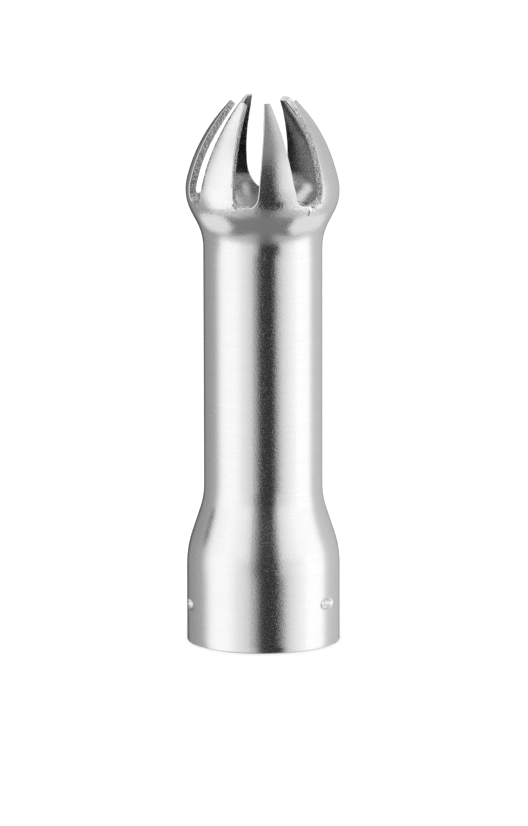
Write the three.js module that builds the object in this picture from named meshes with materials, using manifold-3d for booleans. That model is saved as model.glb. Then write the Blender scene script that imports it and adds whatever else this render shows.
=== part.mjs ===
// Screw-on decorating tip of a whipped cream dispenser, in millimetres.
// +Z runs from the open base up to the prongs, and the base rim lies on z = 0.
// Azimuths are degrees round +Z, zero toward -Y and growing toward +X.

import * as THREE from 'three';
import { mergeVertices } from 'three/addons/utils/BufferGeometryUtils.js';
import Module from 'manifold-3d';

// Shell: one drawn tube. Lengths run along the axis between the corners where its straight runs
// would meet unrounded. The base's diameter follows from the insert inside it.
const shellWall = 0.95;
const rimRound = 0.4;
const baseLength = 11.65;
const flareFootFillet = 12.4;
const flareLength = 6.45;
const flareTopFillet = 8.8;
const tubeDiameter = 14.7;
const tubeLength = 32.9;
const neckFillet = 6.9;
const bulbLength = 4.8;
const bulbCornerDiameter = 19.8;
const bulbFillet = 6;
const crownLength = 7.4;
const crownCornerDiameter = 16;
const crownFillet = 20;
const mouthLength = 4.8;
const mouthDiameter = 7.5;

// Prongs: what is left between the slots, in order round the crown. The photographed tip isn't
// evenly cut, so each prong has its own place, width, foot fillets and end trim.
const slotDepth = 12.6;
const prongTipWidth = 0.85;
const prongFullnessShare = 1.45;
const prongs = [
  { azimuth: -87, tipAzimuth: -80, baseWidth: 5.6, footFillet: 1.1, endTrim: 0.5 },
  { azimuth: -37, tipAzimuth: -39, baseWidth: 4.9, footFillet: 1.1, endTrim: 0.45 },
  { azimuth: 11.8, tipAzimuth: 9, baseWidth: 4.7, footFillet: 1.1, endTrim: 0.45 },
  { azimuth: 67, tipAzimuth: 72, baseWidth: 5.9, footFillet: 1.1, endTrim: 0.4 },
  { azimuth: 141.5, tipAzimuth: 137, baseWidth: 5.8, footFillet: 1.1, endTrim: 0.4 },
  { azimuth: 208.5, tipAzimuth: 211, baseWidth: 5.6, footFillet: 2.3, endTrim: 0 },
];

// Dimples: punched into the base wall, so that they stand inside in pockets of the insert.
const dimpleHeight = 5.7;
const dimpleMouthDiameter = 2.3;
const dimpleFloorDiameter = 0.9;
const dimpleDepth = 0.8;
const dimpleThinning = 0.15;
const dimpleAzimuths = [56, 172, 288];

// Insert: the threaded collar that the shell is crimped onto.
const insertWall = 1.4;
const insertRecess = 0.8;
const insertTopGap = 0.3;
const insertChamfer = 0.5;
const insertLip = 1.3;
const lipBoreDiameter = 10;
const threadMajorDiameter = 14;
const threadDepth = 0.8;
const threadPitch = 1.5;
const threadRootFlat = 0.2;
const threadCrestFlat = 0.3;
const threadLeadIn = 1;
const reliefDepth = 0.2;

// Washer: the flat seal between the insert's lip and the end of the dispenser's outlet.
const washerThickness = 1.5;
const washerBoreDiameter = 9.6;
const washerBevelRise = 0.4;

// Clearance between neighbouring pieces, and how far a cutter runs past what it cuts.
const fitClearance = 0.15;
const overrun = 1;

// Facets.
const shellSegments = 48;
const insertSegments = 40;
const dimpleSegments = 12;
const filletStep = THREE.MathUtils.degToRad(8);
const prongLevels = 10;
const threadStepsPerTurn = 24;

const shellSteel = { color: 0xcfcfcf, roughness: 0.24, metalness: 1 };
const insertSteel = { color: 0xb9babb, roughness: 0.34, metalness: 1 };
const sealRubber = { color: 0xe4e2dc, roughness: 0.6, metalness: 0 };

const insertRadius = threadMajorDiameter / 2 + insertWall;
const baseBoreRadius = insertRadius + fitClearance;
const baseRadius = baseBoreRadius + shellWall;
const bulbRadius = bulbCornerDiameter / 2;
const pitFloorRadius = baseRadius - dimpleDepth;

const flareTopHeight = baseLength + flareLength;
const neckHeight = flareTopHeight + tubeLength;
const bulbCornerHeight = neckHeight + bulbLength;
const crownCornerHeight = bulbCornerHeight + crownLength;
const shellHeight = crownCornerHeight + mouthLength;
const slotFloorHeight = shellHeight - slotDepth;

const wasm = await Module();
wasm.setup();

// A solid for joining and cutting, from any closed geometry.
function toSolid(geometry) {
  const bare = geometry.clone();
  bare.deleteAttribute('normal');
  bare.deleteAttribute('uv');
  const merged = mergeVertices(bare);
  return new wasm.Manifold(new wasm.Mesh({
    numProp: 3,
    vertProperties: merged.attributes.position.array,
    triVerts: new Uint32Array(merged.index.array),
  }));
}

function toGeometry(solid) {
  const mesh = solid.getMesh();
  const geometry = new THREE.BufferGeometry();
  geometry.setAttribute('position', new THREE.BufferAttribute(new Float32Array(mesh.vertProperties), 3));
  geometry.setIndex(new THREE.BufferAttribute(new Uint32Array(mesh.triVerts), 1));
  geometry.computeVertexNormals();
  return geometry;
}

function makeMesh(name, geometry, finish) {
  const mesh = new THREE.Mesh(geometry, new THREE.MeshStandardMaterial(finish));
  mesh.name = name;
  return mesh;
}

// One corner of an outline: its radius, its height and the fillet that rounds it.
function corner(radius, height, fillet = 0) {
  return { at: new THREE.Vector2(radius, height), fillet };
}

function direction(from, to) {
  return to.at.clone().sub(from.at).normalize();
}

// How far an outline turns at one corner, in radians, left turns positive.
function turnAt(corners, i) {
  if (corners[i].fillet === 0) {
    return 0;
  }
  const into = direction(corners[i - 1], corners[i]);
  const out = direction(corners[i], corners[i + 1]);
  return Math.atan2(into.cross(out), into.dot(out));
}

// How far each fillet reaches along its straight runs, less where two would meet on a short run.
function filletReaches(corners) {
  const wanted = corners.map((here, i) => here.fillet * Math.tan(Math.abs(turnAt(corners, i)) / 2));
  const room = corners.slice(1).map((next, i) => {
    return next.at.distanceTo(corners[i].at) / (wanted[i] + wanted[i + 1]);
  });
  return wanted.map((reach, i) => reach * Math.min(1, ...room.slice(Math.max(0, i - 1), i + 1)));
}

// Outline points of straight runs, with each corner's fillet as an arc.
function roundedOutline(corners) {
  const reaches = filletReaches(corners);
  const points = [];
  corners.forEach((here, i) => {
    const turn = turnAt(corners, i);
    if (turn === 0) {
      points.push(here.at.clone());
      return;
    }
    const into = direction(corners[i - 1], here);
    const start = here.at.clone().addScaledVector(into, -reaches[i]);
    const radius = reaches[i] / Math.tan(turn / 2);
    const centre = start.clone().addScaledVector(new THREE.Vector2(-into.y, into.x), radius);
    const steps = Math.ceil(Math.abs(turn) / filletStep);
    for (let step = 0; step <= steps; step += 1) {
      points.push(start.clone().rotateAround(centre, (turn * step) / steps));
    }
  });
  return points;
}

// The same outline moved toward the axis, with its fillets following.
function movedInward(corners, distance) {
  return corners.map((here, i) => {
    const into = i > 0 ? direction(corners[i - 1], here) : direction(here, corners[i + 1]);
    const out = i < corners.length - 1 ? direction(here, corners[i + 1]) : into;
    const sideIn = new THREE.Vector2(-into.y, into.x);
    const sideOut = new THREE.Vector2(-out.y, out.x);
    const miter = sideIn.clone().add(sideOut).divideScalar(1 + sideIn.dot(sideOut));
    const at = here.at.clone().addScaledVector(miter, distance);
    const fillet = here.fillet === 0 ? 0 : here.fillet - Math.sign(into.cross(out)) * distance;
    return { at, fillet: Math.max(fillet, 0) };
  });
}

// A ring-shaped solid turned round +Z from a closed outline that doesn't reach the axis.
function turned(points, segments) {
  const closed = [...points, points[0]];
  return new THREE.LatheGeometry(closed, segments).rotateX(Math.PI / 2);
}

// A small cone that points outward at one azimuth, between two distances from the axis.
function radialCone(innerRadius, innerWidth, outerRadius, outerWidth, azimuth) {
  const length = outerRadius - innerRadius;
  const cone = new THREE.CylinderGeometry(innerWidth / 2, outerWidth / 2, length, dimpleSegments);
  cone.translate(0, -(innerRadius + outerRadius) / 2, 0);
  cone.rotateZ(THREE.MathUtils.degToRad(azimuth));
  cone.translate(0, 0, dimpleHeight);
  return cone;
}

const outerCorners = [
  corner(baseRadius, 0),
  corner(baseRadius, baseLength, flareFootFillet),
  corner(tubeDiameter / 2, flareTopHeight, flareTopFillet),
  corner(tubeDiameter / 2, neckHeight, neckFillet),
  corner(bulbRadius, bulbCornerHeight, bulbFillet),
  corner(crownCornerDiameter / 2, crownCornerHeight, crownFillet),
  corner(mouthDiameter / 2, shellHeight),
];
const outerOutline = roundedOutline(outerCorners);

// Height at which the base's straight bore starts to narrow into the flare.
const boreCorners = movedInward(outerCorners, shellWall);
const boreOutline = roundedOutline(boreCorners);
const boreTopHeight = boreOutline[1].y;

// The crown's outline above the slot floors, as evenly spaced levels.
function crownLevels() {
  const above = outerOutline.filter((point) => point.y > slotFloorHeight);
  const below = outerOutline.filter((point) => point.y <= slotFloorHeight).at(-1);
  const share = (slotFloorHeight - below.y) / (above[0].y - below.y);
  const path = new THREE.Path([below.clone().lerp(above[0], share), ...above]);
  return path.getSpacedPoints(prongLevels).map((point, i) => {
    return { share: i / prongLevels, radius: point.x, height: point.y };
  });
}

// One side of a prong as a flat drawing to be wrapped at the bulb's radius. side is -1 or +1.
function prongSide(prong, side) {
  return crownLevels().map((level) => {
    const centre = THREE.MathUtils.lerp(prong.azimuth, prong.tipAzimuth, level.share);
    const taper = 1 - level.share ** prongFullnessShare;
    const width = THREE.MathUtils.lerp(prongTipWidth, prong.baseWidth, taper);
    const azimuth = THREE.MathUtils.degToRad(centre) + (side * width) / (2 * level.radius);
    return new THREE.Vector2(azimuth * bulbRadius, level.height);
  });
}

// A cutter drawn flat and wrapped round the axis, so that its sides stay square to the wall.
function crownCutter(outline) {
  const innermost = mouthDiameter / 2 - 2 * shellWall;
  const depth = bulbRadius + overrun - innermost;
  const flat = new THREE.ExtrudeGeometry(outline, { depth, bevelEnabled: false, curveSegments: 4 });
  return wrapped(flat, (u, v, w) => ({ azimuth: u / bulbRadius, radius: innermost + w, height: v }));
}

// The next prong round the crown, past a full turn for the last one.
function prongAfter(i) {
  const turnsOn = i === prongs.length - 1 ? 360 : 0;
  const next = prongs[(i + 1) % prongs.length];
  return { ...next, azimuth: next.azimuth + turnsOn, tipAzimuth: next.tipAzimuth + turnsOn };
}

// The slot between two prongs, open at the top and round in its floor's corners.
function slotCutter(prong, nextProng) {
  const sideA = prongSide(prong, 1);
  const sideB = prongSide(nextProng, -1);
  const footA = sideA[0].x;
  const footB = sideB[0].x;
  const filletA = Math.min(prong.footFillet, (footB - footA) / 2);
  const filletB = Math.min(nextProng.footFillet, (footB - footA) / 2);
  const cornerA = slotFloorHeight + filletA;
  const cornerB = slotFloorHeight + filletB;
  const outline = new THREE.Shape();
  outline.moveTo(sideA.at(-1).x, shellHeight + overrun);
  const climbA = sideA.filter((point) => point.y > cornerA);
  climbA.reverse().forEach((point) => outline.lineTo(point.x, point.y));
  outline.lineTo(footA, cornerA);
  outline.quadraticCurveTo(footA, slotFloorHeight, footA + filletA, slotFloorHeight);
  outline.lineTo(footB - filletB, slotFloorHeight);
  outline.quadraticCurveTo(footB, slotFloorHeight, footB, cornerB);
  const climbB = sideB.filter((point) => point.y > cornerB);
  climbB.forEach((point) => outline.lineTo(point.x, point.y));
  outline.lineTo(sideB.at(-1).x, shellHeight + overrun);
  return crownCutter(outline);
}

// What a prong's end is shortened by.
function endCutter(prong) {
  const centre = THREE.MathUtils.degToRad(prong.tipAzimuth) * bulbRadius;
  const half = prongTipWidth * 2;
  const foot = shellHeight - prong.endTrim;
  const outline = new THREE.Shape();
  outline.moveTo(centre - half, foot);
  outline.lineTo(centre + half, foot);
  outline.lineTo(centre + half, shellHeight + overrun);
  outline.lineTo(centre - half, shellHeight + overrun);
  return crownCutter(outline);
}

// Moves every point of a flat solid to the azimuth, radius and height that place() gives it.
function wrapped(geometry, place) {
  const position = geometry.attributes.position;
  for (let i = 0; i < position.count; i += 1) {
    const { azimuth, radius, height } = place(position.getX(i), position.getY(i), position.getZ(i));
    position.setXYZ(i, radius * Math.sin(azimuth), -radius * Math.cos(azimuth), height);
  }
  return geometry;
}

// Base rim rounded on the outside, then up the outer wall and down the inner one.
function shellBlank() {
  const foot = roundedOutline([
    corner(baseBoreRadius, 0),
    corner(baseRadius, 0, rimRound),
    corner(baseRadius, baseLength),
  ]).slice(0, -1);
  return turned([...foot, ...outerOutline.slice(1), ...boreOutline.slice(1).reverse()], shellSegments);
}

// The punched pit outside, open past the wall.
function dimplePit(azimuth) {
  const spread = (dimpleMouthDiameter - dimpleFloorDiameter) / dimpleDepth;
  const mouthWidth = dimpleMouthDiameter + spread * overrun;
  return radialCone(pitFloorRadius, dimpleFloorDiameter, baseRadius + overrun, mouthWidth, azimuth);
}

// The cone that a dimple raises inside, or with a clearance the pocket that it stands in.
function dimpleCone(azimuth, clearance) {
  const floorRadius = pitFloorRadius - shellWall + dimpleThinning - clearance;
  const floorWidth = dimpleFloorDiameter + shellWall + 2 * clearance;
  const rootWidth = dimpleMouthDiameter + shellWall + 2 * clearance;
  return radialCone(floorRadius, floorWidth, baseRadius - shellWall / 2, rootWidth, azimuth);
}

function makeShell() {
  let shell = toSolid(shellBlank());
  prongs.forEach((prong, i) => {
    shell = shell.subtract(toSolid(slotCutter(prong, prongAfter(i))));
    if (prong.endTrim > 0) {
      shell = shell.subtract(toSolid(endCutter(prong)));
    }
  });
  dimpleAzimuths.forEach((azimuth) => {
    shell = shell.add(toSolid(dimpleCone(azimuth, 0))).subtract(toSolid(dimplePit(azimuth)));
  });
  return makeMesh('tip_shell', toGeometry(shell), shellSteel);
}

const reliefRadius = threadMajorDiameter / 2 + reliefDepth;
const insertTopHeight = boreTopHeight - insertTopGap;
const lipHeight = insertTopHeight - insertLip;
const washerTopHeight = lipHeight - fitClearance;
const washerFootHeight = washerTopHeight - washerThickness;
const reliefFootHeight = washerFootHeight - fitClearance;
const minorRadius = threadMajorDiameter / 2 - threadDepth;

// Collar outline without its thread and pockets: up the outside, then down the bore.
function insertBlank() {
  const leadInRadius = minorRadius + threadLeadIn;
  const outline = [
    corner(leadInRadius, insertRecess),
    corner(insertRadius - insertChamfer, insertRecess),
    corner(insertRadius, insertRecess + insertChamfer),
    corner(insertRadius, insertTopHeight - insertChamfer),
    corner(insertRadius - insertChamfer, insertTopHeight),
    corner(lipBoreDiameter / 2, insertTopHeight),
    corner(lipBoreDiameter / 2, lipHeight),
    corner(reliefRadius, lipHeight),
    corner(reliefRadius, reliefFootHeight),
    corner(minorRadius, reliefFootHeight),
    corner(minorRadius, insertRecess + threadLeadIn),
  ];
  return turned(roundedOutline(outline), insertSegments);
}

// Right-hand V groove, drawn as one section, extruded straight and wrapped into a helix.
function threadCutter() {
  const crestHalf = (threadPitch - threadCrestFlat) / 2;
  const rootHalf = threadRootFlat / 2;
  const section = new THREE.Shape([
    new THREE.Vector2(-threadDepth, crestHalf),
    new THREE.Vector2(-threadDepth, -crestHalf),
    new THREE.Vector2(0, -crestHalf),
    new THREE.Vector2(threadDepth, -rootHalf),
    new THREE.Vector2(threadDepth, rootHalf),
    new THREE.Vector2(0, crestHalf),
  ]);
  const startHeight = insertRecess - threadPitch;
  const turns = (reliefFootHeight - startHeight) / threadPitch + 1 / 4;
  const depth = turns * 2 * Math.PI * minorRadius;
  const steps = Math.ceil(turns * threadStepsPerTurn);
  const straight = new THREE.ExtrudeGeometry(section, { depth, steps, bevelEnabled: false });
  return wrapped(straight, (u, v, w) => {
    const azimuth = w / minorRadius;
    const height = startHeight + (threadPitch * azimuth) / (2 * Math.PI) - v;
    return { azimuth, radius: minorRadius + u, height };
  });
}

function makeInsert() {
  let insert = toSolid(insertBlank()).subtract(toSolid(threadCutter()));
  dimpleAzimuths.forEach((azimuth) => {
    insert = insert.subtract(toSolid(dimpleCone(azimuth, fitClearance)));
  });
  return makeMesh('threaded_insert', toGeometry(insert), insertSteel);
}

// Its lower edge is bevelled, so that it can be pressed in past the thread.
function makeWasher() {
  const rimRadius = reliefRadius - fitClearance;
  const outline = [
    corner(washerBoreDiameter / 2, washerFootHeight),
    corner(minorRadius - fitClearance, washerFootHeight),
    corner(rimRadius, washerFootHeight + washerBevelRise),
    corner(rimRadius, washerTopHeight),
    corner(washerBoreDiameter / 2, washerTopHeight),
  ];
  return makeMesh('sealing_washer', turned(roundedOutline(outline), insertSegments), sealRubber);
}

const tip = new THREE.Group();
tip.add(makeShell(), makeInsert(), makeWasher());

export default tip;
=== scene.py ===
# Looks of the screw-on decorating tip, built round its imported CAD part.
# Sizes in the dictionaries are millimetres and degrees. Azimuths start at -Y, the camera's side,
# and grow toward +X.

import bpy
import bmesh
import math
from mathutils import Matrix, Vector, noise


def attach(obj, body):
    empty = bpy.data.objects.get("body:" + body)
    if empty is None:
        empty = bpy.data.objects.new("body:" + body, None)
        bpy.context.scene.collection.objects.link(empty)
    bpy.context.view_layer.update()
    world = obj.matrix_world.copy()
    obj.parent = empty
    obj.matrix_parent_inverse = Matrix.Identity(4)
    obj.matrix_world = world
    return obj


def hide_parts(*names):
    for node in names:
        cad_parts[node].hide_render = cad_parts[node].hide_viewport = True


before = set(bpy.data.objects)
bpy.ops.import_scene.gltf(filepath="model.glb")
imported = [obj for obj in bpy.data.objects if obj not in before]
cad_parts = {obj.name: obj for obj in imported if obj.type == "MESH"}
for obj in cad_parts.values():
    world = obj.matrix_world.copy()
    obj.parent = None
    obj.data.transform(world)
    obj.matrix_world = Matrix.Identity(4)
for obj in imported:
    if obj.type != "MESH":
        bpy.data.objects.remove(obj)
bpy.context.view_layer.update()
mm = 0.001
mergeGap = 0.0005  # points nearer each other than this become one
sharpAngle = 38  # edges that turn further than this stay sharp
print("frame loaded")


# Outlines

def roundedOutline(corners, arcStep):
    # straight runs between (radius, height, fillet) corners, with each fillet as an arc
    points = []
    for i, (radius, height, fillet) in enumerate(corners):
        here = Vector((radius, height))
        if fillet == 0:
            points.append(here)
            continue
        into = (here - Vector(corners[i - 1][:2])).normalized()
        out = (Vector(corners[(i + 1) % len(corners)][:2]) - here).normalized()
        turn = math.atan2(into.cross(out), into.dot(out))
        arcRadius = math.copysign(fillet, turn)
        start = here - into * (fillet * math.tan(abs(turn) / 2))
        centre = start + Vector((-into.y, into.x)) * arcRadius
        steps = math.ceil(abs(math.degrees(turn)) / arcStep)
        for step in range(steps + 1):
            points.append(centre + Matrix.Rotation(turn * step / steps, 2) @ (start - centre))
    return points


def lengthsAlong(points):
    lengths = [0.0]
    for a, b in zip(points, points[1:]):
        lengths.append(lengths[-1] + (b - a).length)
    return lengths


def pointAlong(points, distance):
    lengths = lengthsAlong(points)
    for i in range(1, len(points)):
        if distance <= lengths[i] or i == len(points) - 1:
            share = (distance - lengths[i - 1]) / (lengths[i] - lengths[i - 1])
            return points[i - 1].lerp(points[i], share)


def distanceAtHeight(points, height):
    lengths = lengthsAlong(points)
    for i in range(1, len(points)):
        if points[i].y >= height:
            share = (height - points[i - 1].y) / (points[i].y - points[i - 1].y)
            return lengths[i - 1] + share * (lengths[i] - lengths[i - 1])


# Places

def aroundAxis(radius, azimuth, height):
    return Vector((radius * math.sin(azimuth), -radius * math.cos(azimuth), height))


def azimuthOf(point):
    return math.atan2(point.x, -point.y)


def turnBetween(azimuth, point):
    turn = azimuthOf(point) - math.radians(azimuth)
    return (turn + math.pi) % (2 * math.pi) - math.pi


def wayFrom(form, point):
    # how far a point of the wall is from a form's middle, measured in the form's own size
    width, height = form["size"]
    turn = turnBetween(form["azimuth"], point)
    return math.hypot(turn * point.xy.length / width, (point.z - form["height"]) / height)


def gridPlace(point, columns, rows):
    # column and row of a point on a flat grid that spans -1 to 1
    return (point.x + 1) / 2 * columns, (point.y + 1) / 2 * rows


def softRamp(t, ease):
    # 0 to 1 between t = 0 and 1, with both bends eased
    if t <= -ease:
        return 0
    if t < ease:
        return (t + ease) ** 2 / (4 * ease)
    if t > 1 + ease:
        return 1
    if t > 1 - ease:
        return 1 - (1 + ease - t) ** 2 / (4 * ease)
    return t


# Objects

def meshObject(name, bm, materials):
    mesh = bpy.data.meshes.new(name)
    bm.to_mesh(mesh)
    bm.free()
    for material in materials:
        mesh.materials.append(material)
    thing = bpy.data.objects.new(name, mesh)
    bpy.context.scene.collection.objects.link(thing)
    return thing


def finishPiece(name, bm, materials, node):
    # faces outward and in metres, then a smooth-shaded object that rides on the only body
    bmesh.ops.recalc_face_normals(bm, faces=bm.faces)
    bmesh.ops.scale(bm, vec=(mm, mm, mm), verts=bm.verts)
    piece = meshObject(name, bm, materials)
    piece.data.shade_smooth()
    piece.data.set_sharp_from_angle(angle=math.radians(sharpAngle))
    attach(piece, "root")
    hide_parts(node)
    print(name, len(piece.data.polygons), "faces")
    return piece


# Node helpers

def addNode(tree, kind, **settings):
    node = tree.nodes.new(kind)
    for key, value in settings.items():
        setattr(node, key, value)
    return node


def feed(tree, socket, value):
    # a link from another node's output, or a plain value
    if isinstance(value, bpy.types.NodeSocket):
        tree.links.new(value, socket)
    else:
        socket.default_value = value


def addMath(tree, operation, *values):
    node = addNode(tree, "ShaderNodeMath", operation=operation)
    for socket, value in zip(node.inputs, values):
        feed(tree, socket, value)
    return node.outputs[0]


def mapRange(tree, value, fromEnds, toEnds=(0, 1), kind="LINEAR"):
    node = addNode(tree, "ShaderNodeMapRange", interpolation_type=kind)
    feed(tree, node.inputs["Value"], value)
    for name, end in zip(("From Min", "From Max", "To Min", "To Max"), (*fromEnds, *toEnds)):
        feed(tree, node.inputs[name], end)
    return node.outputs["Result"]


def stepBetween(tree, value, low, high):
    return mapRange(tree, value, (low, high), kind="SMOOTHSTEP")


def addNoise(tree, vector, scale, detail=2, roughness=0.5):
    node = addNode(tree, "ShaderNodeTexNoise")
    for name, value in (("Vector", vector), ("Scale", scale), ("Detail", detail), ("Roughness", roughness)):
        feed(tree, node.inputs[name], value)
    return node.outputs["Fac"]


def addRamp(tree, factor, stops):
    # grey stops of (position, brightness)
    ramp = addNode(tree, "ShaderNodeValToRGB")
    elements = ramp.color_ramp.elements
    while len(elements) < len(stops):
        elements.new(0.5)
    for element, (position, grey) in zip(elements, stops):
        element.position = position
        element.color = (grey, grey, grey, 1)
    tree.links.new(factor, ramp.inputs[0])
    return ramp.outputs[0]


def splitVector(tree, vector):
    node = addNode(tree, "ShaderNodeSeparateXYZ")
    tree.links.new(vector, node.inputs[0])
    return node.outputs


def mixGreys(tree, factor, a, b):
    mix = addNode(tree, "ShaderNodeMix", data_type="RGBA")
    for name, value in (("Factor", factor), ("A", a), ("B", b)):
        tree.links.new(value, mix.inputs[name])
    return mix.outputs["Result"]


def mixShaders(tree, factor, a, b):
    mix = addNode(tree, "ShaderNodeMixShader")
    for socket, value in zip(mix.inputs, (factor, a, b)):
        tree.links.new(value, socket)
    return mix.outputs[0]


def newGroup(name, values, outputs):
    # takes a vector and named values, and puts out named values
    group = bpy.data.node_groups.new(name, "ShaderNodeTree")
    group.interface.new_socket("Vector", in_out="INPUT", socket_type="NodeSocketVector")
    for socketName, default in values.items():
        socket = group.interface.new_socket(socketName, in_out="INPUT", socket_type="NodeSocketFloat")
        socket.default_value = default
    for socketName in outputs:
        group.interface.new_socket(socketName, in_out="OUTPUT", socket_type="NodeSocketFloat")
    return group, addNode(group, "NodeGroupInput").outputs, addNode(group, "NodeGroupOutput").inputs


def placeGroup(tree, group, vector, **values):
    node = addNode(tree, "ShaderNodeGroup", node_tree=group)
    tree.links.new(vector, node.inputs["Vector"])
    for key, value in values.items():
        node.inputs[key].default_value = value
    return node.outputs


# Shared surface effects. Heights are in metres, so a Bump of distance 1 reads them as they are.

specks = {"top": 0.8, "scale": 1.3}  # noise at which a speck is full, and the specks' scale to the grain's


def grainGroup():
    # fine grain: a bumpy height, and a mask of small rough specks
    group, given, put = newGroup(
        "metalGrain", {"Grain Size": 0.16 * mm, "Depth": 0.002 * mm, "Speck Share": 0.3},
        ("Height", "Specks"))
    scale = addMath(group, "DIVIDE", 1.0, given["Grain Size"])
    grain = addNoise(group, given["Vector"], scale, detail=2, roughness=0.55)
    group.links.new(addMath(group, "MULTIPLY", grain, given["Depth"]), put["Height"])
    fineScale = addMath(group, "MULTIPLY", scale, specks["scale"])
    fine = addNoise(group, given["Vector"], fineScale, detail=1)
    low = addMath(group, "SUBTRACT", specks["top"], given["Speck Share"])
    group.links.new(stepBetween(group, fine, low, specks["top"]), put["Specks"])
    return group


def turningGroup():
    # fine rings round the axis left by drawing, turning and polishing
    group, given, put = newGroup(
        "turningLines", {"Line Spacing": 0.2 * mm, "Line Length": 12 * mm, "Depth": 0.0004 * mm},
        ("Height", "Lines"))
    apart = splitVector(group, given["Vector"])
    stretched = addNode(group, "ShaderNodeCombineXYZ")
    for axis, reach in (("X", "Line Length"), ("Y", "Line Length"), ("Z", "Line Spacing")):
        group.links.new(addMath(group, "DIVIDE", apart[axis], given[reach]), stretched.inputs[axis])
    lines = addNoise(group, stretched.outputs[0], 1, detail=3)
    group.links.new(lines, put["Lines"])
    group.links.new(addMath(group, "MULTIPLY", lines, given["Depth"]), put["Height"])
    return group


metalGrain = grainGroup()
turningLines = turningGroup()


# Materials

def newMaterial(name):
    material = bpy.data.materials.new(name)
    material.use_nodes = True
    tree = material.node_tree
    shader = tree.nodes["Principled BSDF"]
    place = addNode(tree, "ShaderNodeTexCoord").outputs["Object"]
    return material, tree, shader, place


def emptyMaterial(name):
    material = bpy.data.materials.new(name)
    material.use_nodes = True
    tree = material.node_tree
    tree.nodes.clear()
    return material, tree, addNode(tree, "ShaderNodeOutputMaterial").inputs["Surface"]


def greyFrom(tree, factor, low, high):
    return addRamp(tree, factor, [(0, low), (1, high)])


def placeGrain(tree, place, look):
    return placeGroup(tree, metalGrain, place, **{
        "Grain Size": look["grainSize"] * mm, "Depth": look["grainDepth"] * mm,
        "Speck Share": look["speckShare"]})


def placeLines(tree, place, look):
    return placeGroup(tree, turningLines, place, **{
        "Line Spacing": look["lineSpacing"] * mm, "Line Length": look["lineLength"] * mm,
        "Depth": look["lineDepth"] * mm})


def setSurface(tree, shader, look, shade, roughSpots, heights):
    # grey by one mask, roughness by another, and all the heights in one bump
    tree.links.new(greyFrom(tree, shade, *look["grey"]), shader.inputs["Base Color"])
    tree.links.new(mapRange(tree, roughSpots, (0, 1), look["roughness"]), shader.inputs["Roughness"])
    shader.inputs["Metallic"].default_value = look["metallic"]
    height = heights[0]
    for more in heights[1:]:
        height = addMath(tree, "ADD", height, more)
    bump = addNode(tree, "ShaderNodeBump")
    bump.inputs["Strength"].default_value = 1
    bump.inputs["Distance"].default_value = 1
    tree.links.new(height, bump.inputs["Height"])
    tree.links.new(bump.outputs["Normal"], shader.inputs["Normal"])


def grainySurface(name, look):
    material, tree, shader, place = newMaterial(name)
    grain = placeGrain(tree, place, look)
    setSurface(tree, shader, look, grain["Specks"], grain["Specks"], [grain["Height"]])
    return material


def turnedSurface(name, look, marks=()):
    # marks are functions that add heights of their own
    material, tree, shader, place = newMaterial(name)
    grain = placeGrain(tree, place, look)
    lines = placeLines(tree, place, look)
    heights = [grain["Height"], lines["Height"], *(mark(tree, place) for mark in marks)]
    setSurface(tree, shader, look, lines["Lines"], grain["Specks"], heights)
    return material


polish = {"grey": (0.76, 0.82), "roughness": (0.09, 0.38), "metallic": 1,
          "grainSize": 0.13, "grainDepth": 0.011, "speckShare": 0.35,
          "lineSpacing": 0.22, "lineLength": 9, "lineDepth": 0.0003,
          "brushSize": (0.7, 0.13), "brushSlant": 28, "brushDepth": 0.004,
          "filedHeights": (53.4, 54.6, 55.6, 56.8), "filedSize": 0.4, "filedDepth": 0.03}


def polishedSteel():
    return turnedSurface("polishedSteel", polish, (brushMarks, filedBand))


def brushMarks(tree, place):
    # short slanting streaks from polishing by hand
    long, short = polish["brushSize"]
    turned = addNode(tree, "ShaderNodeMapping", vector_type="POINT")
    turned.inputs["Rotation"].default_value = (0, math.radians(polish["brushSlant"]), 0)
    stretched = addNode(tree, "ShaderNodeMapping", vector_type="POINT")
    stretched.inputs["Scale"].default_value = (1 / (short * mm), 1 / (short * mm), 1 / (long * mm))
    tree.links.new(place, turned.inputs["Vector"])
    tree.links.new(turned.outputs[0], stretched.inputs["Vector"])
    streaks = addNoise(tree, stretched.outputs[0], 1, detail=1)
    return addMath(tree, "MULTIPLY", streaks, polish["brushDepth"] * mm)


def filedBand(tree, place):
    # the rougher band under the slots, where they were cut and filed
    foot, low, high, top = (height * mm for height in polish["filedHeights"])
    height = splitVector(tree, place)["Z"]
    above = stepBetween(tree, height, foot, low)
    within = addMath(tree, "MULTIPLY", above, stepBetween(tree, height, top, high))
    waves = addNoise(tree, place, 1 / (polish["filedSize"] * mm), detail=3)
    depth = addMath(tree, "MULTIPLY", within, polish["filedDepth"] * mm)
    return addMath(tree, "MULTIPLY", waves, depth)


sawn = {"grey": (0.6, 1), "roughness": (0.2, 0.5), "metallic": 1,
        "grainSize": 0.32, "grainDepth": 0.16, "speckShare": 0.4}


def sawnSteel():
    return grainySurface("sawnSteel", sawn)


# the strip beside a rough corner, scuffed with grain and roughness, and darkened with painted shade: a dark
# base colour that stands in for a dark line of shade along the edge
scuffedAndShadedEdge = {"grey": (0.22, 0.85), "roughness": (0.3, 0.5), "metallic": 1,
          "grainSize": 0.3, "grainDepth": 0.12, "speckShare": 0.45}


def burredSteelWithPaintedShade():
    # steel scuffed and with painted shade, dark in its base colour but for the specks
    return grainySurface("burredSteelWithPaintedShade", scuffedAndShadedEdge)


bore = {"grey": (0.6, 0.7), "roughness": (0.18, 0.32), "metallic": 1,
        "grainSize": 0.2, "grainDepth": 0.0014, "speckShare": 0.3,
        "lineSpacing": 0.3, "lineLength": 6, "lineDepth": 0.0014}


def boreSteel():
    return turnedSurface("boreSteel", bore)


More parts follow.
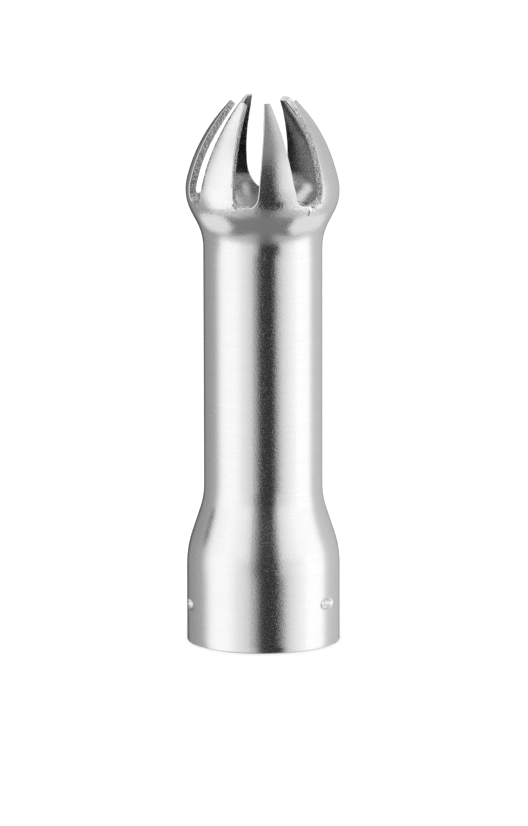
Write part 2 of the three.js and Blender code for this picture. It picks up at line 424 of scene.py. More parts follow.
machined = {"grey": (0.6, 0.72), "roughness": (0.26, 0.4), "metallic": 1,
            "grainSize": 0.2, "grainDepth": 0.001, "speckShare": 0.2,
            "lineSpacing": 0.12, "lineLength": 14, "lineDepth": 0.0018}


def machinedSteel():
    return turnedSurface("machinedSteel", machined)


silicone = {"grey": (0.74, 0.8), "roughness": (0.5, 0.62), "metallic": 0,
            "grainSize": 0.5, "grainDepth": 0.004, "speckShare": 0.5}


def paleSilicone():
    return grainySurface("paleSilicone", silicone)


# Shell

shell = {
    "corners": (  # radius, height, fillet
        (9.5, 0, 0),
        (9.5, 11.65, 12.4),
        (7.35, 18.1, 8.8),
        (7.35, 51, 6.9),
        (9.9, 55.8, 6),
        (8, 63.2, 20),
        (3.75, 68, 0),
    ),
    "wall": 0.95,
    "rimRound": 0.2,
    "rimTop": 1,  # what crosses the wall is the rim up to here, and a cut above
    "boreEdge": 0.12,
    "cutEdge": 0.13,
    "roughEdge": 0.28,
    "edgeRoom": 0.85,  # the share of a neighbouring cell that a broken edge may take
    "edgeSegments": 3,
    "cutRoughness": 0.025,
    "cutGrain": 4.5,  # noise per millimetre on the cuts
    "skinShare": 0.05,  # nearer a face than this share of the wall is on it
    "slotFloor": 55.4,
    "hookPower": 4,
    "lean": 0.2,
    "leanFoot": 57.5,
}

# In order round the crown. A prong goes from one azimuth at its foot to another at its end. The
# fullness is how long it stays wide, and the trim how far under the full height it ends. Feet are
# the fillets at the lower and the higher azimuth, as width and height. The shoulder rounds the end
# off. The hook is how far the end leans sideways, and the bend how far the middle does. An end of
# level 0 is cut across the wall, and one of level 1 flat. The thinning is off the wall at the end.
plainProng = {"width": 5.6, "tip": 0.85, "feet": ((1.1, 1.1), (1.1, 1.1)), "fullness": 1.45, "trim": 0.34,
              "shoulder": 0, "hook": 0, "bend": 0}
prongs = (
    {**plainProng, "azimuth": -88.5, "tipAzimuth": -86, "trim": 0.42, "level": 0.1, "thinning": 0.25},
    {**plainProng, "azimuth": -37.9, "tipAzimuth": -42.5, "width": 5.27, "tip": 0.68, "trim": 0.37,
     "shoulder": 0.25, "bend": 0.13, "level": 0.3, "thinning": 0.2},
    {**plainProng, "azimuth": 11.4, "tipAzimuth": 9, "width": 5.2, "tip": 0.6,
     "feet": ((1, 1.3), (1.1, 1.1)), "fullness": 1.1, "trim": 0.37, "hook": -0.35, "level": 0.3,
     "thinning": 0.35},
    {**plainProng, "azimuth": 67, "tipAzimuth": 72, "width": 5.9, "level": 0.2, "thinning": 0.3},
    {**plainProng, "azimuth": 141.5, "tipAzimuth": 137, "width": 6, "fullness": 1.75, "level": 0.25,
     "thinning": 0.1},
    {**plainProng, "azimuth": 207.5, "tipAzimuth": 214.2, "tip": 0.74, "feet": ((1.9, 4.2), (2.3, 2.3)),
     "trim": 0.02, "hook": -0.28, "level": 0.4, "thinning": 0.55},
)

# how far the prongs' sides stray, how fast, how far one prong's noise lies from the next one's, and
# the level at which it is read, off the whole numbers where it is always nought
wobble = {"size": 0.035, "rate": 0.9, "apart": 7.3, "level": 0.5}

tips = {
    "foot": 60,  # no prong's end lies lower
    "corner": 0.11,
    "cornerAngle": 40,  # a corner turns further than this
    "cornerSegments": 3,
    "blend": 4,  # how far down an end's thinning and levelling reach
    "thinningPower": 1.4,
    "levelPower": 2,
    "slopeReach": 0.2,
    "capGap": 0.01,
}

dimples = (
    {"azimuth": 56.5, "height": 5.5},
    {"azimuth": 172, "height": 5.5},
    {"azimuth": 287, "height": 4.85},
)

# mouth and floor are widths; the nub is its rise, reach and ease
plainDimple = {"ease": 0.3, "stretch": (1, 1), "nub": (0, 1, 1)}
dimplePit = {"mouth": 2.2, "floor": 1, "depth": 0.55, "ease": 0.14, "stretch": (1.25, 0.62),
             "nub": (0.16, 0.3, 0.3)}
dimpleBump = {**plainDimple, "mouth": 3.25, "floor": 1.85, "depth": 0.5}
dimplePocket = {**plainDimple, "mouth": 3.6, "floor": 2.2, "depth": 0.66}

# left by the slot cutter: size is half the width and half the height, rise is out of the wall
burrs = (
    {"azimuth": 42.5, "height": 55.6, "size": (0.55, 0.5), "rise": 0.3},
    {"azimuth": 39, "height": 54.6, "size": (0.3, 0.5), "rise": 0.12},
    {"azimuth": -54.5, "height": 56.3, "size": (0.3, 0.6), "rise": 0.12},
    {"azimuth": -62, "height": 55.1, "size": (0.45, 0.25), "rise": 0.1},
    {"azimuth": -22, "height": 57.2, "size": (0.22, 1), "rise": 0.08},
)
burrForm = {"reach": 1.15, "slope": 0.45, "ease": 0.25, "crumble": 0.6, "crumbleRate": 3.2}

# soft unevenness under the slots, which bends the mirrored table
swells = (
    {"azimuth": -24, "height": 53.4, "size": (2.3, 1.6), "rise": 0.07},
    {"azimuth": 23, "height": 53.3, "size": (2.3, 1.6), "rise": 0.08},
)

# corners left rough: either side of an azimuth, between two heights
roughEdges = (
    {"azimuth": -50, "reach": 8, "foot": 56.3, "top": 67.6},
    {"azimuth": -22, "reach": 3, "foot": 55.6, "top": 57.8},
)

# the grid of the outer face: counts of cells, and steps along the outline
cells = {
    "prong": 14,
    "slot": 6,
    "crown": 30,
    "rowStep": 0.75,
    "arcStep": 3,
    "rimSteps": (0, 0.01, 0.03, 0.07, 0.12, 0.2),
    "footSteps": (0.04, 0.15, 0.32, 0.55, 0.82, 1.1, 1.5, 1.9, 2.3),
    "tipSteps": (0.6, 0.4, 0.2, 0),
    "edge": 0.46,  # a prong's outermost column of cells is this wide, or a quarter of the prong
    "slopeReach": 0.02,
    "dimpleReach": 2,  # the cells this near a dimple are cut finer
    "dimpleCuts": 6,
    "dimpleRound": 3,  # and the points this near put back on the round wall
    "burrCuts": 4,
    "wallCuts": 2,
}

# places in the shell's list of materials
# the last is scuffed steel with painted shade, for the strips beside rough corners
outerFinish, boreFinish, cutFinish, scuffedAndShadedFinish = range(4)

baseRadius = shell["corners"][0][0]
bulbRadius = shell["corners"][4][0]
fullHeight = shell["corners"][-1][1]
outline = roundedOutline(shell["corners"], cells["arcStep"])
floorDistance = distanceAtHeight(outline, shell["slotFloor"])
crownLength = lengthsAlong(outline)[-1] - floorDistance
sector = cells["prong"] + cells["slot"]


def crownRises(prong):
    # path lengths up from the slot floor, close together at the foot's fillet and the tip
    top = distanceAtHeight(outline, fullHeight - prong["trim"]) - floorDistance
    first = cells["footSteps"][-1]
    last = top - cells["tipSteps"][0]
    middle = [first + (last - first) * (k + 1) / (cells["crown"] + 1) for k in range(cells["crown"])]
    return [0, *cells["footSteps"], *middle, *(top - step for step in cells["tipSteps"])]


def quarterRound(radius, distance):
    # how far a rounded corner stands back at a distance from its end
    if distance >= radius:
        return 0
    return radius - math.sqrt(radius ** 2 - (radius - max(distance, 0)) ** 2)


def edgeAzimuth(index, side, rise, top):
    turn, order = divmod(index, len(prongs))
    prong = prongs[order]
    share = min(rise / crownLength, 1)
    centre = math.radians(prong["azimuth"] + (prong["tipAzimuth"] - prong["azimuth"]) * share)
    width = prong["width"] + (prong["tip"] - prong["width"]) * share ** prong["fullness"]
    noisePlace = Vector((order * wobble["apart"] + side, rise * wobble["rate"], wobble["level"]))
    stray = noise.noise(noisePlace) * wobble["size"]
    half = width / 2 + stray - quarterRound(prong["shoulder"], top - rise)
    footWidth, footHeight = prong["feet"][side > 0]
    foot = footWidth * quarterRound(1, rise / footHeight)
    radius = pointAlong(outline, floorDistance + rise).x
    hook = prong["hook"] * share ** shell["hookPower"]
    lean = (hook + prong["bend"] * 4 * share * (1 - share)) / radius
    return centre + lean + 2 * math.pi * turn + side * (half / radius + foot / bulbRadius)


def edgeAndInset(index, side, rise, top):
    # a point on a prong's side, and the point a fixed way into the prong from it
    low = max(rise - cells["slopeReach"], 0)
    high = min(rise + cells["slopeReach"], top)
    azimuth = edgeAzimuth(index, side, rise, top)
    radius = pointAlong(outline, floorDistance + rise).x
    across = (edgeAzimuth(index, side, high, top) - edgeAzimuth(index, side, low, top)) * radius
    along = Vector((across, high - low)).normalized()
    width = (edgeAzimuth(index, 1, rise, top) - edgeAzimuth(index, -1, rise, top)) * radius
    inset = min(cells["edge"], width / 4)
    inward = Vector((-side * along.y, side * along.x)) * inset
    return (azimuth, rise), (azimuth + inward.x / radius, rise + inward.y)


def bodyRows():
    # distances from the rim up to the slot floor, close together round the rim's edge
    first = cells["rimSteps"][-1]
    count = round((floorDistance - first) / cells["rowStep"])
    above = (first + (floorDistance - first) * k / count for k in range(count + 1))
    return [*cells["rimSteps"][:-1], *above]


def mixPair(a, b, share):
    return a[0] + (b[0] - a[0]) * share, a[1] + (b[1] - a[1]) * share


def sheetPoint(index, cell, rise, top, onTop):
    # azimuth and rise of one corner of the grid above the slot floor
    left, leftInset = edgeAndInset(index, -1, rise, top)
    right, rightInset = edgeAndInset(index, 1, rise, top)
    if cell > cells["prong"]:
        following = edgeAndInset(index + 1, -1, rise, top)[0]
        return mixPair(right, following, (cell - cells["prong"]) / cells["slot"])
    if cell == 0:
        return left
    if cell == cells["prong"]:
        return right
    azimuth, rise = mixPair(leftInset, rightInset, (cell - 1) / (cells["prong"] - 2))
    return azimuth, top if onTop else rise


def placeSheet(bm, columns, rows, lower, crown):
    # each vertex also keeps how far it is below its prong's end
    known = {}
    toEnd = bm.verts.layers.float.new("toEnd")
    for vert in bm.verts:
        column, row = (round(place) for place in gridPlace(vert.co, columns, rows))
        index, cell = divmod(column, sector)
        rises = crown[index % len(prongs)]
        level = max(row - len(lower) + 1, 0)
        key = (column, level)
        if key not in known:
            known[key] = sheetPoint(index, cell, rises[level], rises[-1], level == len(rises) - 1)
        azimuth, rise = known[key]
        vert[toEnd] = rises[-1] - rise
        distance = floorDistance + rise if row >= len(lower) - 1 else lower[row]
        radius, height = pointAlong(outline, distance)
        vert.co = aroundAxis(radius, azimuth, height)


def buildSheet():
    # the outer face as one wrapped grid, without the cells of the slots
    lower = bodyRows()
    crown = [crownRises(prong) for prong in prongs]
    columns = sector * len(prongs)
    rows = len(lower) + len(crown[0]) - 2
    bm = bmesh.new()
    bmesh.ops.create_grid(bm, x_segments=columns, y_segments=rows, size=1)
    gone = []
    for face in bm.faces:
        column, row = gridPlace(face.calc_center_median(), columns, rows)
        if row > len(lower) - 1 and column % sector > cells["prong"]:
            gone.append(face)
    bmesh.ops.delete(bm, geom=gone, context="FACES")
    placeSheet(bm, columns, rows, lower, crown)
    bmesh.ops.remove_doubles(bm, verts=bm.verts, dist=mergeGap)
    return bm


def cutFiner(bm, faces, cuts):
    # the edges are given in the mesh's own order, which a set doesn't keep
    around = {edge for face in faces for edge in face.edges}
    edges = [edge for edge in bm.edges if edge in around]
    bmesh.ops.subdivide_edges(bm, edges=edges, cuts=cuts, use_grid_fill=True)


def fromDimple(point, radius, stretch=(1, 1)):
    # distance to the nearest dimple's axis, measured along the wall
    ways = []
    for dimple in dimples:
        turn = turnBetween(dimple["azimuth"], point)
        ways.append(math.hypot(turn * radius / stretch[0], (point.z - dimple["height"]) / stretch[1]))
    return min(ways)


def fromBurr(point):
    return min(wayFrom(burr, point) for burr in burrs)


def refineSheet(bm):
    near = [face for face in bm.faces
            if fromDimple(face.calc_center_median(), baseRadius) < cells["dimpleReach"]]
    cutFiner(bm, near, cells["dimpleCuts"])
    for vert in bm.verts:
        if fromDimple(vert.co, baseRadius) < cells["dimpleRound"]:
            vert.co = aroundAxis(baseRadius, azimuthOf(vert.co), vert.co.z)
    near = [face for face in bm.faces if min(fromBurr(vert.co) for vert in face.verts) < burrForm["reach"]]
    cutFiner(bm, near, cells["burrCuts"])


def pushDimples(verts, radius, form):
    nub, nubReach, nubEase = form["nub"]
    slope = (form["mouth"] - form["floor"]) / 2
    for vert in verts:
        away = fromDimple(vert.co, radius, form["stretch"])
        if away > form["mouth"]:
            continue
        push = form["depth"] * softRamp((form["mouth"] / 2 - away) / slope, form["ease"])
        push -= nub * softRamp(1 - away / nubReach, nubEase)
        vert.co = aroundAxis(radius - push, azimuthOf(vert.co), vert.co.z)


def raiseBurrs(verts):
    for vert in verts:
        for burr in burrs:
            inward = (burrForm["reach"] - wayFrom(burr, vert.co)) / burrForm["slope"]
            crumble = burrForm["crumble"] + noise.noise(vert.co * burrForm["crumbleRate"])
            vert.co += vert.normal * (burr["rise"] * crumble * softRamp(inward, burrForm["ease"]))


def raiseSwells(verts):
    for vert in verts:
        for swell in swells:
            share = max(1 - wayFrom(swell, vert.co) ** 2, 0)
            vert.co += vert.normal * (swell["rise"] * share ** 2)


def levelTips(inner, toEnd):
    # thins the wall toward each end, and slides its inside along so that the end is level
    for vert in inner:
        reach = 1 - vert[toEnd] / tips["blend"]
        if reach <= 0 or vert.co.z < shell["slotFloor"]:
            continue
        prong = min(prongs, key=lambda p: abs(turnBetween(p["tipAzimuth"], vert.co)))
        distance = distanceAtHeight(outline, fullHeight - prong["trim"]) - vert[toEnd]
        below = pointAlong(outline, distance - tips["slopeReach"])
        along = (pointAlong(outline, distance) - below).normalized()
        thinning = prong["thinning"] * reach ** tips["thinningPower"]
        level = prong["level"] * reach ** tips["levelPower"]
        slide = along * ((shell["wall"] - thinning) * -along.x / along.y * level)
        slide += Vector((along.y, -along.x)) * thinning
        vert.co = aroundAxis(vert.co.xy.length + slide.x, azimuthOf(vert.co), vert.co.z + slide.y)


def crossesWall(edge, depth):
    return abs(edge.verts[0][depth] - edge.verts[1][depth]) > 0.5


def roundTips(bm, depth):
    # the edges that cross the wall at the two corners of each prong's end
    corners = []
    for edge in bm.edges:
        if edge.verts[0].co.z < tips["foot"] or not crossesWall(edge, depth):
            continue
        if edge.calc_face_angle(0) > math.radians(tips["cornerAngle"]):
            corners.append(edge)
    bmesh.ops.bevel(bm, geom=corners, affect="EDGES", offset=tips["corner"],
                    segments=tips["cornerSegments"], profile=0.5, material=-1)


def chooseFinishes(bm, depth):
    for face in bm.faces:
        depths = [vert[depth] for vert in face.verts]
        face.material_index = outerFinish
        if min(depths) > 0.5:
            face.material_index = boreFinish
        elif max(depths) > 0.5 and face.calc_center_median().z > shell["rimTop"]:
            face.material_index = cutFinish


def roughenCuts(bm, depth):
    # divides the wall's thickness in the cuts, and moves the new points a little
    across = [edge for edge in bm.edges
              if crossesWall(edge, depth) and edge.verts[0].co.z > shell["rimTop"]]
    bmesh.ops.subdivide_edges(bm, edges=across, cuts=cells["wallCuts"], use_grid_fill=True)
    skin = shell["skinShare"]
    inside = [vert for vert in bm.verts if skin < vert[depth] < 1 - skin]
    for vert in inside:
        push = noise.noise(vert.co * shell["cutGrain"]) * shell["cutRoughness"]
        vert.co += vert.normal * push


def inRoughEdge(point):
    for rough in roughEdges:
        turn = abs(turnBetween(rough["azimuth"], point))
        if turn < math.radians(rough["reach"]) and rough["foot"] < point.z < rough["top"]:
            return True
    return False


def scuffAndShadeBeside(edge):
    # the outer faces beside the edge get the scuffed finish, darkened with painted shade
    for face in edge.link_faces:
        if face.material_index == outerFinish:
            face.material_index = scuffedAndShadedFinish


def markCorners(bm):
    # the cuts' corners, for the bevel that comes last, each no wider than its faces allow
    weight = bm.edges.layers.float.new("bevel_weight_edge")
    corners = set()
    for edge in bm.edges:
        kinds = {face.material_index for face in edge.link_faces}
        if cutFinish in kinds and len(kinds) == 2:
            corners.add(edge)
    for edge in corners:
        beside = {side for vert in edge.verts for side in vert.link_edges} - corners
        room = shell["edgeRoom"] * min(side.calc_length() for side in beside)
        wide = shell["cutEdge"]
        # a rough corner gets a wider bevel, and painted shade on the strip beside it
        if inRoughEdge((edge.verts[0].co + edge.verts[1].co) / 2):
            wide = shell["roughEdge"]
            scuffAndShadeBeside(edge)
        edge[weight] = min(wide, room) / shell["roughEdge"]


def polishEnds(bm):
    # the prongs' very ends are finished like the outer face
    toEnd = bm.verts.layers.float["toEnd"]
    for face in bm.faces:
        atEnd = max(vert[toEnd] for vert in face.verts) < tips["capGap"]
        if atEnd and face.calc_center_median().z > tips["foot"]:
            face.material_index = outerFinish


def roundRim(bm, depth):
    # the outer edge of the rim is rounded, and its inner edge broken
    for vert in bm.verts:
        if vert.co.z > shell["rimRound"]:
            continue
        outward = -quarterRound(shell["rimRound"], vert.co.z)
        if vert[depth] > 0.5:
            outward = quarterRound(shell["boreEdge"], vert.co.z)
        vert.co = aroundAxis(vert.co.xy.length + outward, azimuthOf(vert.co), vert.co.z)


def leanCrown(bm):
    height = fullHeight - shell["leanFoot"]
    for vert in bm.verts:
        share = max(vert.co.z - shell["leanFoot"], 0) / height
        vert.co.x += shell["lean"] * share ** 2 * (3 - 2 * share)


def buildShell():
    bm = buildSheet()
    refineSheet(bm)
    bmesh.ops.recalc_face_normals(bm, faces=bm.faces)
    depth = bm.verts.layers.float.new("depth")  # 0 on the outer face, 1 on the bore
    outer = set(bm.verts)
    bmesh.ops.solidify(bm, geom=bm.faces, thickness=shell["wall"])
    for vert in bm.verts:
        vert[depth] = 0 if vert in outer else 1
    inner = [vert for vert in bm.verts if vert[depth] > 0.5]
    levelTips(inner, bm.verts.layers.float["toEnd"])
    bm.normal_update()
    raiseSwells(outer)
    raiseBurrs(outer)
    pushDimples(outer, baseRadius, dimplePit)
    pushDimples(inner, baseRadius - shell["wall"], dimpleBump)
    roundTips(bm, depth)
    chooseFinishes(bm, depth)
    roughenCuts(bm, depth)
    markCorners(bm)
    polishEnds(bm)
    roundRim(bm, depth)
    leanCrown(bm)
    return bm


def breakCorners(piece):
    modifier = piece.modifiers.new("breakCorners", "BEVEL")
    modifier.limit_method = "WEIGHT"
    modifier.width = shell["roughEdge"] * mm
    modifier.segments = shell["edgeSegments"]
    modifier.use_clamp_overlap = False
    modifier.material = outerFinish
    modifier.harden_normals = True


shellFinishes = [polishedSteel(), boreSteel(), sawnSteel(), burredSteelWithPaintedShade()]
shellPiece = finishPiece("steelTipShell", buildShell(), shellFinishes, "tip_shell")
breakCorners(shellPiece)


# Threaded insert

insert = {
    "radius": 8.4,
    "foot": 0.8,
    "top": 9.34,
    "chamfer": 0.5,
    "edge": 0.12,
    "lipRadius": 5,
    "lipHeight": 8.04,
    "lipEdge": 0.2,
    "reliefRadius": 7.2,
    "reliefFoot": 6.24,
    "reliefEdge": 0.15,
    "minorRadius": 6.2,
    "threadDepth": 0.8,
    "leadIn": 1,
    "pitch": 1.5,
    "columns": 120,
    "arcStep": 15,
    "wallCuts": 18,
    "longEdge": 5,  # an edge that climbs further than this is the plain wall's
    "skin": 0.01,  # the outer wall's points lie within this
}

# height within one turn, share of the thread's depth
threadForm = ((-0.06, 1), (0.06, 1), (0.14, 0.93), (0.35, 0.5), (0.55, 0.07), (0.66, 0), (0.84, 0),
              (0.95, 0.07), (1.15, 0.5), (1.36, 0.93))


def threadShare(height):
    # depth share of the groove at a height above the groove's middle
    first = threadForm[0][0]
    within = (height - first) % insert["pitch"] + first
    form = (*threadForm, (first + insert["pitch"], 1))
    for (lowHeight, lowShare), (highHeight, highShare) in zip(form, form[1:]):
        if within <= highHeight:
            return lowShare + (highShare - lowShare) * (within - lowHeight) / (highHeight - lowHeight)
    return 1


def buildThread():
    # helical rows follow the groove, and are held between the insert's foot and the relief
    pitch, columns = insert["pitch"], insert["columns"]
    start = insert["foot"] - pitch
    turns = math.ceil((insert["reliefFoot"] - start) / pitch) + 1
    rows = turns * len(threadForm)
    bm = bmesh.new()
    bmesh.ops.create_grid(bm, x_segments=columns, y_segments=rows, size=1)
    for vert in bm.verts:
        column, row = (round(place) for place in gridPlace(vert.co, columns, rows))
        turn, step = divmod(row, len(threadForm))
        climb = start - pitch + pitch * column / columns
        height = climb + pitch * turn + threadForm[step][0]
        height = min(max(height, insert["foot"]), insert["reliefFoot"])
        radius = insert["minorRadius"] + insert["threadDepth"] * threadShare(height - climb)
        cone = insert["minorRadius"] + insert["leadIn"] - (height - insert["foot"])
        vert.co = aroundAxis(max(radius, cone), 2 * math.pi * column / columns, height)
    bmesh.ops.remove_doubles(bm, verts=bm.verts, dist=mergeGap)
    return bm


def spinProfile(bm, points, closed, steps):
    verts = [bm.verts.new(aroundAxis(radius, 0, height)) for radius, height in points]
    pairs = list(zip(verts, verts[1:] + verts[:1] if closed else verts[1:]))
    edges = [bm.edges.new(pair) for pair in pairs]
    bmesh.ops.spin(bm, geom=verts + edges, cent=(0, 0, 0), axis=(0, 0, 1), angle=2 * math.pi,
                   steps=steps, use_merge=True)


def buildInsert():
    bm = buildThread()
    radius, foot, top = insert["radius"], insert["foot"], insert["top"]
    chamfer, edge, lip = insert["chamfer"], insert["edge"], insert["lipRadius"]
    corners = (
        (insert["minorRadius"] + insert["leadIn"], foot, 0),
        (radius - chamfer, foot, edge),
        (radius, foot + chamfer, edge),
        (radius, top - chamfer, edge),
        (radius - chamfer, top, edge),
        (lip, top, insert["lipEdge"]),
        (lip, insert["lipHeight"], insert["lipEdge"]),
        (insert["reliefRadius"], insert["lipHeight"], insert["reliefEdge"]),
        (insert["reliefRadius"], insert["reliefFoot"], 0),
    )
    spinProfile(bm, roundedOutline(corners, insert["arcStep"]), False, insert["columns"])
    bmesh.ops.remove_doubles(bm, verts=bm.verts, dist=mergeGap)
    bmesh.ops.bridge_loops(bm, edges=[e for e in bm.edges if e.is_boundary])
    wall = [e for e in bm.edges if abs(e.verts[0].co.z - e.verts[1].co.z) > insert["longEdge"]]
    bmesh.ops.subdivide_edges(bm, edges=wall, cuts=insert["wallCuts"], use_grid_fill=True)
    outer = [v for v in bm.verts if v.co.xy.length > radius - insert["skin"]]
    pushDimples(outer, radius, dimplePocket)
    return bm


finishPiece("threadedSteelInsert", buildInsert(), [machinedSteel()], "threaded_insert")


# Sealing washer

washer = {"bore": 4.8, "land": 6.05, "rim": 7.05, "foot": 6.3878, "bevelRise": 0.4, "thickness": 1.5,
          "edge": 0.14, "arcStep": 20, "columns": 96}


def buildWasher():
    bm = bmesh.new()
    foot, top, edge = washer["foot"], washer["foot"] + washer["thickness"], washer["edge"]
    corners = (
        (washer["bore"], foot, edge),
        (washer["land"], foot, edge),
        (washer["rim"], foot + washer["bevelRise"], edge),
        (washer["rim"], top, edge),
        (washer["bore"], top, edge),
    )
    spinProfile(bm, roundedOutline(corners, washer["arcStep"]), True, washer["columns"])
    return bm


finishPiece("pressedSealWasher", buildWasher(), [paleSilicone()], "sealing_washer")


# Studio: what the steel mirrors, by the direction a mirrored ray leaves in

# Each zone's stops are the ray's azimuth and a brightness.
studio = {
    # the middle heights
    "ring": (
        (-180, 0.08), (-161, 0.1), (-155, 0.2), (-150, 0.33), (-140, 0.345), (-130, 0.37), (-120, 0.41),
        (-110, 0.455), (-104, 0.57), (-96, 0.9), (-88, 1.13), (-76, 1.2), (-68, 1.21), (-66, 1.16),
        (-63, 1.22), (-50, 1.15), (-44, 1.08), (-41, 0.99), (-30, 0.87), (-21, 0.72), (-15, 0.4),
        (-10, 0.12), (-5, 0.05), (0, 0.045), (10, 0.035), (21, 0.04), (23.5, 0.2), (26, 0.66), (34, 0.79),
        (40, 0.88), (50, 1.02), (60, 1.13), (70, 1.27), (90, 1.26), (101, 1.23), (105, 1), (109, 0.81),
        (120, 0.68), (140, 0.61), (152, 0.57), (158, 0.53), (166, 0.4), (180, 0.15),
    ),
    # the foot is the ring, with the stops between two azimuths this many degrees further on
    "footShifts": (
        (-112, -94, 3.5), (-46, -40, -3), (-24, -8, 4.5), (15, 28, 8.5), (28, 36, 6), (36, 64, 5),
    ),
    # above the ring, where the flare looks
    "shoulder": (
        (-180, 0.1), (-161, 0.12), (-150, 0.26), (-130, 0.33), (-110, 0.42), (-104, 0.6), (-97, 0.9),
        (-88, 1.1), (-60, 1.2), (-40, 1.08), (-25, 0.95), (-16, 0.55), (-9, 0.14), (-4, 0.055), (10, 0.035),
        (19, 0.05), (24, 0.5), (28, 0.85), (40, 1), (60, 1.2), (95, 1.25), (105, 1), (110, 0.7), (140, 0.6),
        (155, 0.65), (165, 0.6), (180, 0.4),
    ),
    # high up
    "dome": (
        (-180, 0.9), (-134, 0.95), (-100, 1.15), (-60, 0.9), (-30, 0.38), (-10, 0.27), (20, 0.29),
        (27, 0.42), (33, 0.72), (70, 0.85), (100, 0.75), (140, 0.7), (180, 0.9),
    ),
    # well below the horizon
    "skirt": (
        (-180, 0.1), (-161, 0.12), (-150, 0.3), (-130, 0.32), (-110, 0.33), (-98, 0.42), (-82, 0.62),
        (-30, 0.54), (-14, 0.4), (-4, 0.2), (8, 0.17), (18, 0.2), (30, 0.46), (60, 0.55), (90, 0.6),
        (104, 0.42), (140, 0.38), (152, 0.4), (180, 0.3),
    ),
    # the pale table and, in its middle, the grey mat
    "table": (
        (-180, 0.92), (-88, 0.92), (-77, 0.24), (66, 0.22), (75, 0.92), (180, 0.92),
    ),
    # between these rises of the ray a zone takes over from the one below it
    "edges": {
        "skirt": (-0.665, -0.635),
        "foot": (-0.66, -0.43),
        "ring": (-0.205, -0.18),
        "shoulder": (0.05, 0.2),
        "dome": (0.45, 0.7),
    },
    "tableTilt": 0.27,
    "floorSize": 8000,
    "floorGrey": 0.9,
    "floorLift": 0.28,
    "fibreScale": 400,
    "fibreShade": 0.01,
}


def valueAt(stops, azimuth):
    for (a, greyA), (b, greyB) in zip(stops, stops[1:]):
        if a <= azimuth <= b:
            return greyA + (greyB - greyA) * (azimuth - a) / (b - a)


def ringRamp(tree, azimuth, stops):
    # brightness by azimuth; a ramp holds 32 stops, so each half turn has its own
    halves = []
    for low, high in ((-180, 0), (0, 180)):
        share = mapRange(tree, azimuth, (math.radians(low), math.radians(high)))
        within = [(at, grey) for at, grey in stops if low < at < high]
        whole = ((low, valueAt(stops, low)), *within, (high, valueAt(stops, high)))
        halves.append(addRamp(tree, share, [((at - low) / 180, grey) for at, grey in whole]))
    return mixGreys(tree, addMath(tree, "GREATER_THAN", azimuth, 0.0), *halves)


def shiftStops(stops, shifts):
    moved = []
    for at, grey in stops:
        shift = sum(degrees for low, high, degrees in shifts if low < at < high)
        moved.append((at + shift, grey))
    return moved


def paintStudio(tree, azimuth, height, towardCamera):
    # the zones one above another, and last the tilted table under them all
    zones = {**studio, "foot": shiftStops(studio["ring"], studio["footShifts"])}
    edges = studio["edges"]
    grey = ringRamp(tree, azimuth, zones["skirt"])
    for zone in ("foot", "ring", "shoulder", "dome"):
        above = stepBetween(tree, height, *edges[zone])
        grey = mixGreys(tree, above, grey, ringRamp(tree, azimuth, zones[zone]))
    tilted = addMath(tree, "ADD", height, addMath(tree, "MULTIPLY", towardCamera, studio["tableTilt"]))
    above = stepBetween(tree, tilted, *edges["skirt"])
    return mixGreys(tree, above, ringRamp(tree, azimuth, zones["table"]), grey)


def paintWorld():
    # plain white, but for the rays that metal mirrors
    world = bpy.data.worlds.new("studio")
    bpy.context.scene.world = world
    world.use_nodes = True
    tree = world.node_tree
    tree.nodes.clear()
    apart = splitVector(tree, addNode(tree, "ShaderNodeTexCoord").outputs["Generated"])
    towardCamera = addMath(tree, "MULTIPLY", apart["Y"], -1.0)
    azimuth = addMath(tree, "ARCTAN2", apart["X"], towardCamera)
    plain = addNode(tree, "ShaderNodeBackground")
    plain.inputs["Color"].default_value = (1, 1, 1, 1)
    painted = addNode(tree, "ShaderNodeBackground")
    tree.links.new(paintStudio(tree, azimuth, apart["Z"], towardCamera), painted.inputs["Color"])
    glossy = addNode(tree, "ShaderNodeLightPath").outputs["Is Glossy Ray"]
    out = addNode(tree, "ShaderNodeOutputWorld")
    tree.links.new(mixShaders(tree, glossy, plain.outputs[0], painted.outputs[0]), out.inputs["Surface"])


def palePaper():
    # white to the camera but for the part's shadow, and open when seen from below
    material, tree, surface = emptyMaterial("palePaper")
    place = addNode(tree, "ShaderNodeTexCoord").outputs["Object"]
    fibres = addNoise(tree, place, studio["fibreScale"])
    grey, shade = studio["floorGrey"], studio["fibreShade"]
    paper = addNode(tree, "ShaderNodeBsdfDiffuse")
    tree.links.new(greyFrom(tree, fibres, grey - shade, grey + shade), paper.inputs["Color"])
    seen = addNode(tree, "ShaderNodeLightPath").outputs["Is Camera Ray"]
    lift = addNode(tree, "ShaderNodeEmission")
    tree.links.new(addMath(tree, "MULTIPLY", seen, studio["floorLift"]), lift.inputs["Strength"])
    lit = addNode(tree, "ShaderNodeAddShader")
    tree.links.new(paper.outputs[0], lit.inputs[0])
    tree.links.new(lift.outputs[0], lit.inputs[1])
    below = addNode(tree, "ShaderNodeNewGeometry").outputs["Backfacing"]
    clear = addNode(tree, "ShaderNodeBsdfTransparent")
    tree.links.new(mixShaders(tree, below, lit.outputs[0], clear.outputs[0]), surface)
    return material


def layFloor():
    bm = bmesh.new()
    bmesh.ops.create_grid(bm, x_segments=1, y_segments=1, size=studio["floorSize"] * mm / 2)
    floor = meshObject("paperFloor", bm, [palePaper()])
    floor.visible_glossy = False


flag = {"azimuth": -105, "distance": 300, "width": 62, "foot": 42, "height": 68, "grey": 0.12,
        "fade": (0.5, 0.15)}


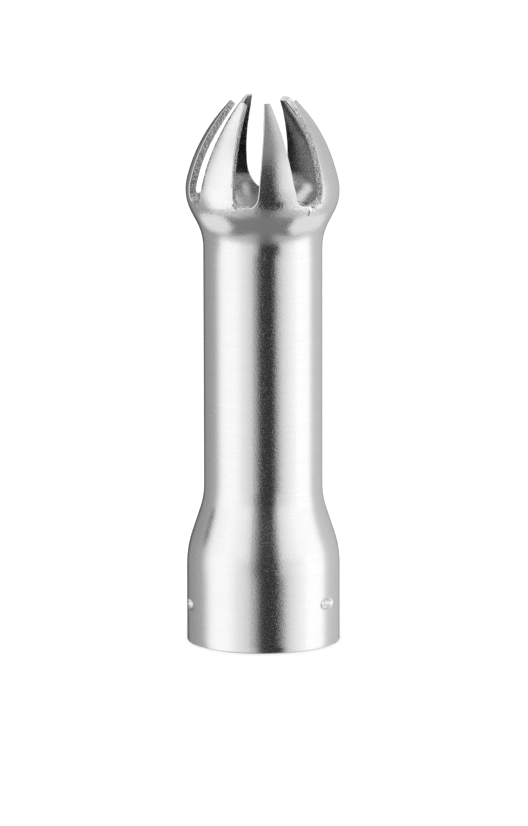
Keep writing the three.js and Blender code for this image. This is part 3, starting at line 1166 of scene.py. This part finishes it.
def flagCard():
    # dark in its middle, and fading out toward its sides
    material, tree, surface = emptyMaterial("flagCard")
    dark = addNode(tree, "ShaderNodeEmission")
    dark.inputs["Color"].default_value = (flag["grey"],) * 3 + (1,)
    apart = splitVector(tree, addNode(tree, "ShaderNodeTexCoord").outputs["UV"])
    fades = []
    for axis in "XY":
        fromMiddle = addMath(tree, "ABSOLUTE", addMath(tree, "SUBTRACT", apart[axis], 0.5))
        fades.append(stepBetween(tree, fromMiddle, *flag["fade"]))
    clear = addNode(tree, "ShaderNodeBsdfTransparent")
    soft = mixShaders(tree, addMath(tree, "MULTIPLY", *fades), clear.outputs[0], dark.outputs[0])
    tree.links.new(soft, surface)
    return material


def hangFlag():
    # a small card beside the part, which only mirrored rays see
    bm = bmesh.new()
    bm.loops.layers.uv.new("UVMap")
    bmesh.ops.create_grid(bm, x_segments=1, y_segments=1, size=0.5, calc_uvs=True)
    turn = math.radians(flag["azimuth"])
    for vert in bm.verts:
        side = vert.co.x * flag["width"] / flag["distance"]
        height = flag["foot"] + (vert.co.y + 0.5) * flag["height"]
        vert.co = aroundAxis(flag["distance"], turn + side, height) * mm
    card = meshObject("flagCard", bm, [flagCard()])
    card.visible_camera = False
    card.visible_diffuse = False
    card.visible_shadow = False


paintWorld()
layFloor()
hangFlag()
print("studio ready")


# Camera

camera = {"distance": 750, "elevation": 9.9, "target": (0.11, 0, 28.52), "roll": -0.1, "focal": 175.9,
          "sensor": 24, "clip": (10, 50000)}


def placeCamera():
    data = bpy.data.cameras.new("camera")
    data.sensor_fit = "VERTICAL"
    data.sensor_height = camera["sensor"]
    data.lens = camera["focal"]
    data.clip_start, data.clip_end = (distance * mm for distance in camera["clip"])
    eye = bpy.data.objects.new("camera", data)
    bpy.context.scene.collection.objects.link(eye)
    target = Vector(camera["target"]) * mm
    rise = math.radians(camera["elevation"])
    back = Vector((0, -math.cos(rise), math.sin(rise))) * camera["distance"] * mm
    eye.rotation_mode = "QUATERNION"
    eye.location = target + back
    roll = Matrix.Rotation(math.radians(camera["roll"]), 3, "Z").to_quaternion()
    eye.rotation_quaternion = (-back).to_track_quat("-Z", "Y") @ roll
    bpy.context.scene.camera = eye


placeCamera()
bpy.context.scene.view_settings.view_transform = "Standard"
print("camera placed")
